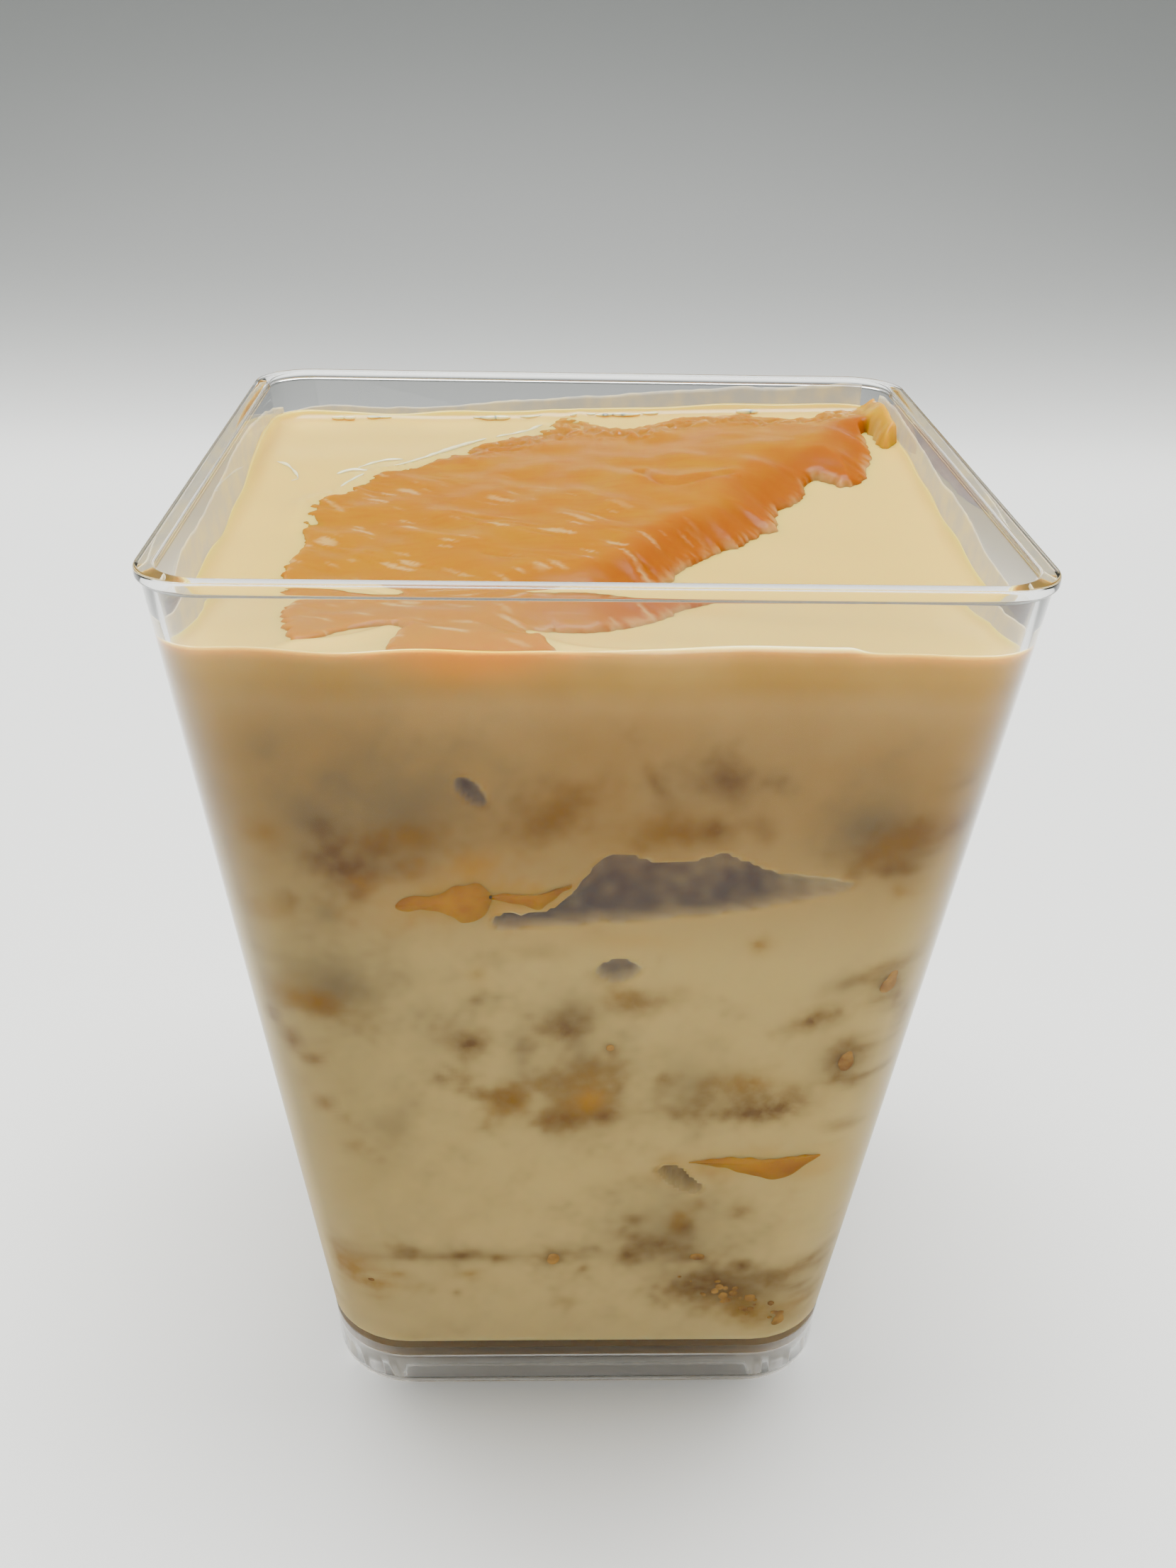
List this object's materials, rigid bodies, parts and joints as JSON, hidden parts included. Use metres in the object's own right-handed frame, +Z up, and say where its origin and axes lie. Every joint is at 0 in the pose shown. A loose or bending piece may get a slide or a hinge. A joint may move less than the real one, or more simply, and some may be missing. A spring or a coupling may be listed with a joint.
{
  "type": "mango float dessert cup",
  "caption": "Chilled mango float in a clear square cup: cream over soaked graham cracker and mango layers, with one large ripe mango slice on top.",
  "frame": {"origin": "middle of the cup's footprint, at the plane it stands on", "axes": "+Z up, -Y towards the side that the picture shows, +X to that side's right"},
  "size_m": [0.066, 0.066, 0.0848],
  "materials": {
    "clear_polystyrene": "clear injection-moulded plastic",
    "cream": "smooth wet cream",
    "mango_flesh": "wet cut fruit",
    "graham_cracker": "soaked crumbly biscuit"
  },
  "bodies": {
    "root": {"cup": "clear_polystyrene", "cream": "cream", "mango_slice": "mango_flesh", "mango_layer_lower": "mango_flesh", "mango_layer_upper": "mango_flesh", "graham_layer_lower": "graham_cracker", "graham_layer_middle": "graham_cracker", "graham_layer_upper": "graham_cracker"}
  },
  "joints": []
}
